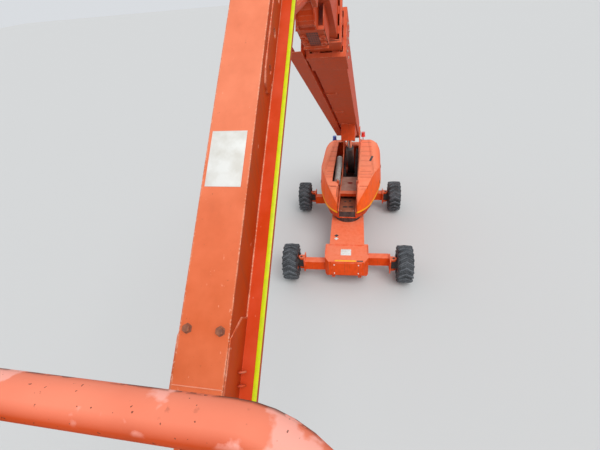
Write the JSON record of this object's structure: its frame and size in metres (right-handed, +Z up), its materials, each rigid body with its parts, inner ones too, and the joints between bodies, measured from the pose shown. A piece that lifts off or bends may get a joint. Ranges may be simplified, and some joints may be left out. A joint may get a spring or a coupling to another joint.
{
  "type": "telescopic boom lift",
  "caption": "Self-propelled telescopic boom lift on four steered wheels with extending axles, slewing turntable, main boom, telescoping jib and levelled work platform.",
  "frame": {"origin": "middle of the machine's plan at floor level, booms as in the picture", "axes": "+Y along the boom from the platform to the turntable, +Z up, +X to the right as seen from the platform"},
  "size_m": [3.9862, 14.2123, 8.4761],
  "materials": {
    "orange": "satin machine paint, worn on edges and dusty on top",
    "hood_orange": "moulded hood, faded on top",
    "tyre": "dusty off-road rubber",
    "rim": "painted steel, dusty",
    "steel": "bare steel",
    "dark": "black paint and hoses",
    "iron": "painted cast iron",
    "chrome": "chromed rod",
    "grey": "light grey paint",
    "brown": "dusty brown-grey plate",
    "blue_lamp": "blue lens",
    "red_lamp": "red-orange lens"
  },
  "bodies": {
    "chassis": {"chassis_frame": "orange", "slew_ring": "steel", "front_cover_plate": "orange", "rear_cover_plate": "orange"},
    "axle_front_left": {"axle_beam_front_left": "orange"},
    "knuckle_front_left": {"knuckle_front_left": "steel"},
    "wheel_front_left": {"rim_front_left": "rim", "tyre_front_left": "tyre"},
    "axle_front_right": {"axle_beam_front_right": "orange"},
    "knuckle_front_right": {"knuckle_front_right": "steel"},
    "wheel_front_right": {"rim_front_right": "rim", "tyre_front_right": "tyre"},
    "axle_rear_left": {"axle_beam_rear_left": "orange"},
    "knuckle_rear_left": {"knuckle_rear_left": "steel"},
    "wheel_rear_left": {"rim_rear_left": "rim", "tyre_rear_left": "tyre"},
    "axle_rear_right": {"axle_beam_rear_right": "orange"},
    "knuckle_rear_right": {"knuckle_rear_right": "steel"},
    "wheel_rear_right": {"rim_rear_right": "rim", "tyre_rear_right": "tyre"},
    "turntable": {"turntable_frame": "orange", "boom_pivot_pin": "steel", "counterweight": "iron", "engine": "dark", "hydraulic_tank": "dark", "fuel_tank": "dark", "valve_box": "dark", "channel_cover": "brown", "grey_tube": "grey", "lift_cylinder_pin": "steel", "beacon_left": "blue_lamp", "beacon_right": "red_lamp"},
    "hood_left": {"hood_left": "hood_orange"},
    "hood_right": {"hood_right": "hood_orange"},
    "boom_base": {"boom_base": "orange", "hose_tray": "orange"},
    "boom_mid": {"boom_mid": "orange"},
    "boom_fly": {"boom_fly": "orange", "fly_head": "orange", "jib_pivot_pin": "steel"},
    "lift_barrel": {"lift_cylinder_barrel": "dark"},
    "lift_rod": {"lift_cylinder_rod": "chrome"},
    "jib_base": {"jib_base": "orange"},
    "jib_fly": {"jib_fly": "orange"},
    "jib_barrel": {"jib_cylinder_barrel": "orange"},
    "jib_rod": {"jib_cylinder_rod": "chrome"},
    "level_link": {"level_link": "orange"},
    "platform_bracket": {"platform_bracket": "orange"},
    "platform": {"rotator": "orange", "platform_floor": "grey", "platform_rails": "orange", "control_console": "dark"},
    "gate": {"platform_gate": "orange"}
  },
  "joints": [
    {"name": "axle_extend_front_left", "type": "slide", "parent": "chassis", "child": "axle_front_left", "axis": [0.9993, 0.0382, 0], "range_m": [0, 0.6]},
    {"name": "steer_front_left", "type": "hinge", "parent": "axle_front_left", "child": "knuckle_front_left", "pos_m": [-1.29121, 1.71123, 0.555], "axis": [0, 0, 1], "range_deg": [-25, 25]},
    {"name": "wheel_spin_front_left", "type": "hinge", "parent": "knuckle_front_left", "child": "wheel_front_left", "pos_m": [-1.60848, 1.6991, 0.555], "axis": [0.9993, 0.0382, 0], "continuous": true},
    {"name": "axle_extend_front_right", "type": "slide", "parent": "chassis", "child": "axle_front_right", "axis": [-0.9993, -0.0382, 0], "range_m": [0, 0.6]},
    {"name": "steer_front_right", "type": "hinge", "parent": "axle_front_right", "child": "knuckle_front_right", "pos_m": [1.4368, 1.81555, 0.555], "axis": [0, 0, 1], "range_deg": [-25, 25]},
    {"name": "wheel_spin_front_right", "type": "hinge", "parent": "knuckle_front_right", "child": "wheel_front_right", "pos_m": [1.75407, 1.82769, 0.555], "axis": [0.9993, 0.0382, 0], "continuous": true},
    {"name": "axle_extend_rear_left", "type": "slide", "parent": "chassis", "child": "axle_rear_left", "axis": [0.9993, 0.0382, 0], "range_m": [0, 0.6]},
    {"name": "steer_rear_left", "type": "hinge", "parent": "axle_rear_left", "child": "knuckle_rear_left", "pos_m": [-1.4368, 5.51845, 0.555], "axis": [0, 0, 1], "range_deg": [-25, 25]},
    {"name": "wheel_spin_rear_left", "type": "hinge", "parent": "knuckle_rear_left", "child": "wheel_rear_left", "pos_m": [-1.75407, 5.50631, 0.555], "axis": [0.9993, 0.0382, 0], "continuous": true},
    {"name": "axle_extend_rear_right", "type": "slide", "parent": "chassis", "child": "axle_rear_right", "axis": [-0.9993, -0.0382, 0], "range_m": [0, 0.6]},
    {"name": "steer_rear_right", "type": "hinge", "parent": "axle_rear_right", "child": "knuckle_rear_right", "pos_m": [1.29121, 5.62277, 0.555], "axis": [0, 0, 1], "range_deg": [-25, 25]},
    {"name": "wheel_spin_rear_right", "type": "hinge", "parent": "knuckle_rear_right", "child": "wheel_rear_right", "pos_m": [1.60848, 5.6349, 0.555], "axis": [0.9993, 0.0382, 0], "continuous": true},
    {"name": "swing", "type": "hinge", "parent": "chassis", "child": "turntable", "pos_m": [0, 3.667, 1.15], "axis": [0, 0, 1], "continuous": true},
    {"name": "hood_left_open", "type": "hinge", "parent": "turntable", "child": "hood_left", "pos_m": [-0.33, 4.16622, 2.29199], "axis": [0, 0.9994, 0.0357], "range_deg": [0, 60]},
    {"name": "hood_right_open", "type": "hinge", "parent": "turntable", "child": "hood_right", "pos_m": [0.33, 4.16622, 2.29199], "axis": [0, -0.9994, -0.0357], "range_deg": [0, 60]},
    {"name": "boom_lift", "type": "hinge", "parent": "turntable", "child": "boom_base", "pos_m": [0, 6.567, 2.7], "axis": [-1, 0, 0], "range_deg": [-29.92, 40]},
    {"name": "boom_telescope", "type": "slide", "parent": "boom_base", "child": "boom_mid", "axis": [0, -0.8667, 0.4988], "range_m": [0, 5.5]},
    {"name": "boom_fly_telescope", "type": "slide", "parent": "boom_mid", "child": "boom_fly", "axis": [0, -0.8667, 0.4988], "range_m": [0, 5.5]},
    {"name": "lift_barrel_swing", "type": "hinge", "parent": "turntable", "child": "lift_barrel", "pos_m": [0, 6.017, 1.44], "axis": [1, 0, 0], "range_deg": [-29.97, 22.42]},
    {"name": "lift_rod_slide", "type": "slide", "parent": "lift_barrel", "child": "lift_rod", "axis": [0, -0.618, 0.7862], "range_m": [-0.5889, 0.787]},
    {"name": "jib_lift", "type": "hinge", "parent": "boom_fly", "child": "jib_base", "pos_m": [0, -3.383, 8.331], "axis": [1, 0, 0], "range_deg": [-60, 15]},
    {"name": "jib_telescope", "type": "slide", "parent": "jib_base", "child": "jib_fly", "axis": [0, -0.7798, -0.6261], "range_m": [0, 2.2]},
    {"name": "jib_barrel_swing", "type": "hinge", "parent": "boom_fly", "child": "jib_barrel", "pos_m": [0, -2.58895, 7.68071], "axis": [1, 0, 0], "range_deg": [-26.22, 6.56]},
    {"name": "jib_rod_slide", "type": "slide", "parent": "jib_barrel", "child": "jib_rod", "axis": [0, -0.9985, -0.0545], "range_m": [-0.1456, 0.5796]},
    {"name": "level_to_boom", "type": "hinge", "parent": "jib_fly", "child": "level_link", "pos_m": [0, -5.76911, 6.41526], "axis": [1, 0, 0], "range_deg": [-30.02, 40.1]},
    {"name": "level_to_jib", "type": "hinge", "parent": "level_link", "child": "platform_bracket", "pos_m": [0, -5.82911, 6.14526], "axis": [-1, 0, 0], "range_deg": [-60.1, 15.1]},
    {"name": "platform_rotate", "type": "hinge", "parent": "platform_bracket", "child": "platform", "pos_m": [0, -5.95511, 6.40526], "axis": [0, 0, 1], "range_deg": [-90, 90]},
    {"name": "gate_swing", "type": "hinge", "parent": "platform", "child": "gate", "pos_m": [-0.63, -6.89311, 6.60526], "axis": [0, 0, -1], "range_deg": [0, 80]}
  ],
  "couplings": [
    {"joint": "boom_fly_telescope", "follows": "boom_telescope", "ratio": 1},
    {"joint": "lift_barrel_swing", "follows": "boom_lift", "ratio": -0.74923},
    {"joint": "lift_rod_slide", "follows": "boom_lift", "m_per_rad": 1.1259},
    {"joint": "jib_barrel_swing", "follows": "jib_lift", "ratio": 0.43699},
    {"joint": "jib_rod_slide", "follows": "jib_lift", "m_per_rad": -0.55251},
    {"joint": "level_to_boom", "follows": "boom_lift", "ratio": 1},
    {"joint": "level_to_jib", "follows": "jib_lift", "ratio": 1}
  ]
}
